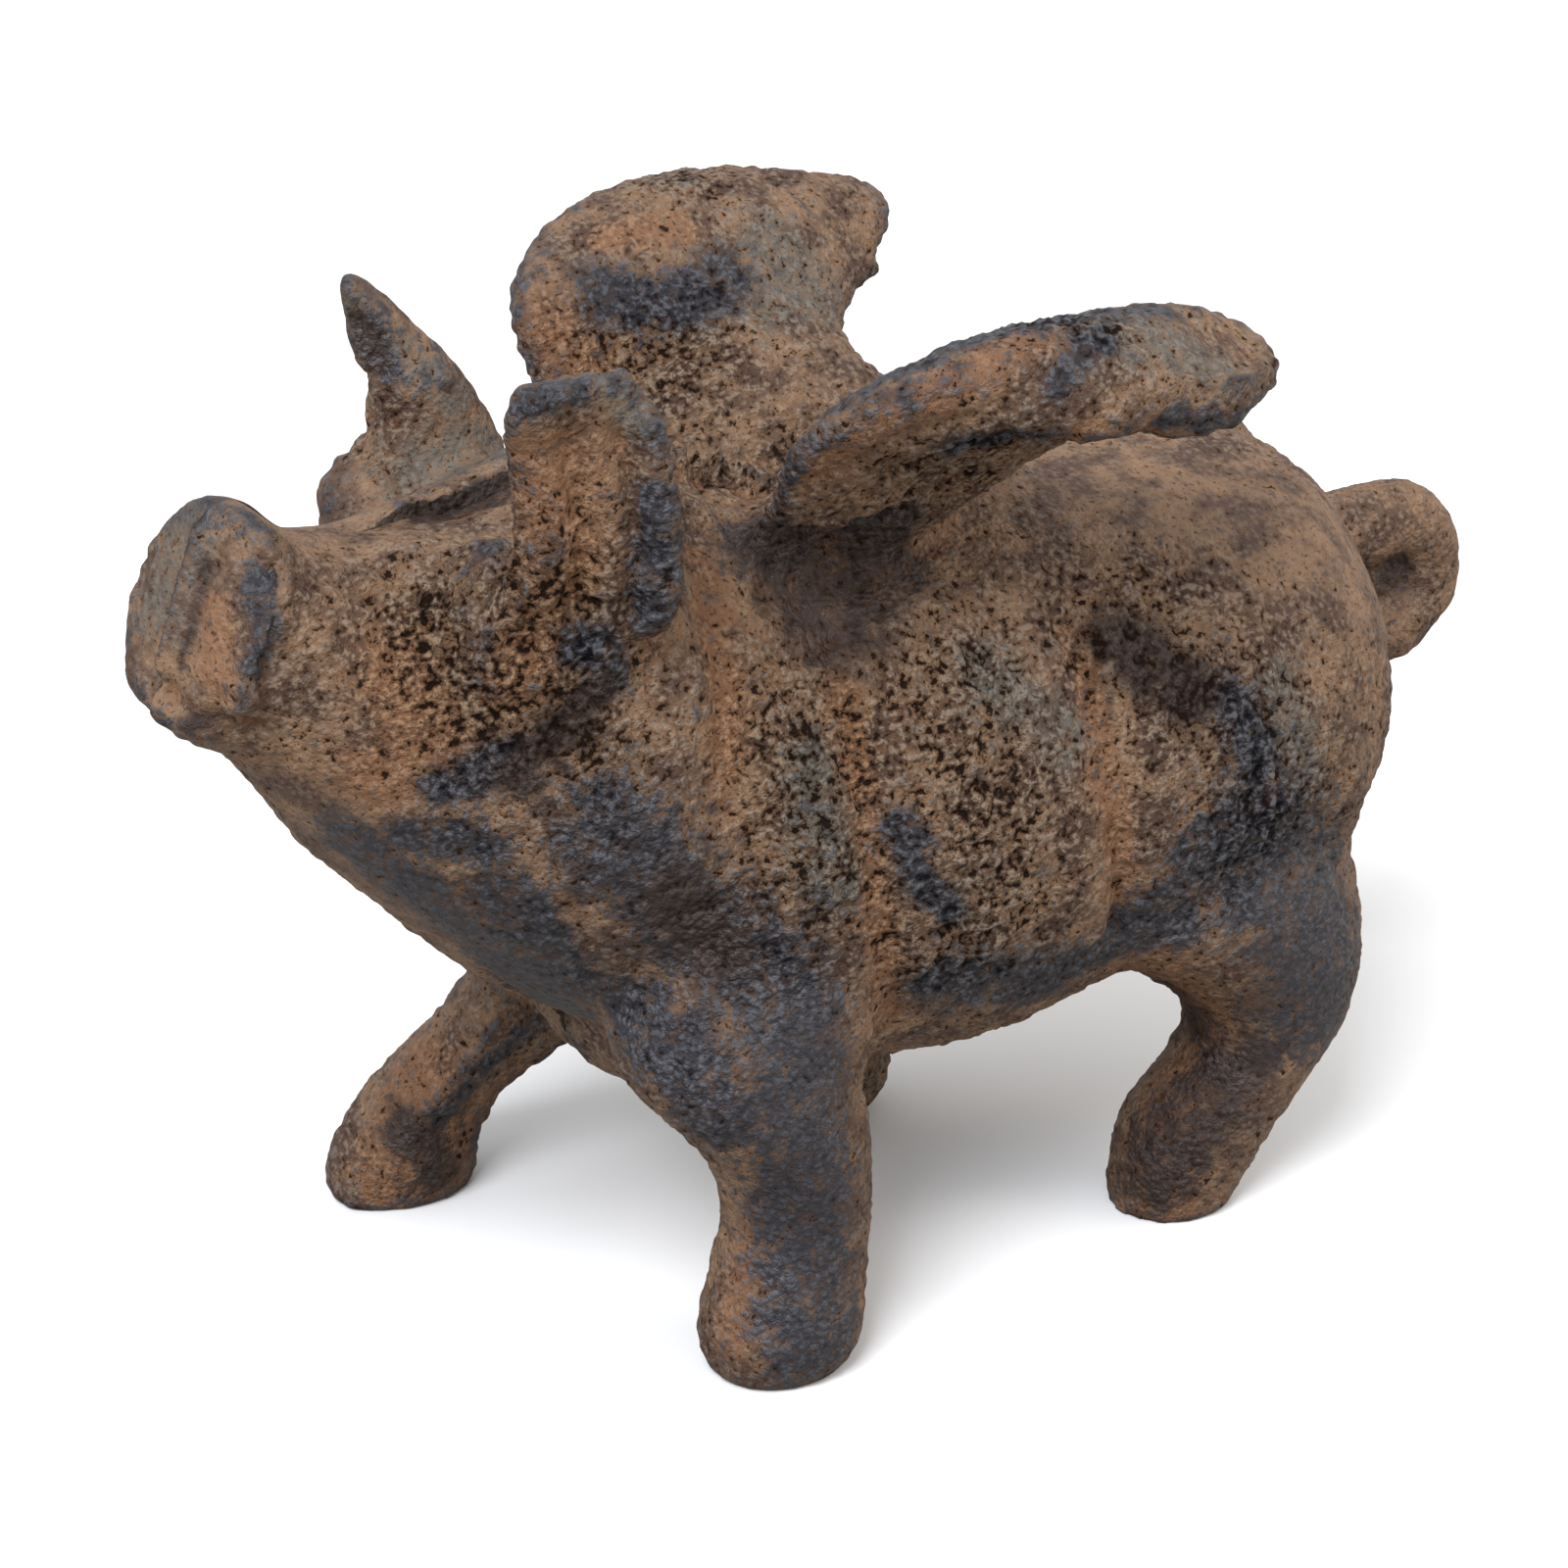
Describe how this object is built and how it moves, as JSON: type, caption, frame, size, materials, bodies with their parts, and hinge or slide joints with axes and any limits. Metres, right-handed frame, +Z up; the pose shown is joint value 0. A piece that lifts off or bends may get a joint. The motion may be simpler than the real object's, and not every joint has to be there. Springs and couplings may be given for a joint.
{
  "type": "winged pig figurine",
  "caption": "Cast iron ornament of a walking pig with raised head, spread wings and a curled tail, cast as hollow halves that are screwed together, with a weathered painted finish.",
  "frame": {"origin": "on the surface it stands on, under the middle of its bounding box", "axes": "+X from the snout to the tail, +Y to the pig's right side, +Z up"},
  "size_m": [0.1102, 0.0548, 0.0728],
  "materials": {
    "rustic_iron": "weathered rust-brown paint with blue-black wash and tan dry brushing over a coarse cast grain",
    "steel_fixings": "dull plated steel"
  },
  "bodies": {
    "root": {"left_casting": "rustic_iron", "right_casting": "rustic_iron", "tail": "rustic_iron", "neck_screw": "steel_fixings", "withers_screw": "steel_fixings", "rump_screw": "steel_fixings", "snout_dowel": "steel_fixings", "belly_dowel": "steel_fixings"}
  },
  "joints": []
}
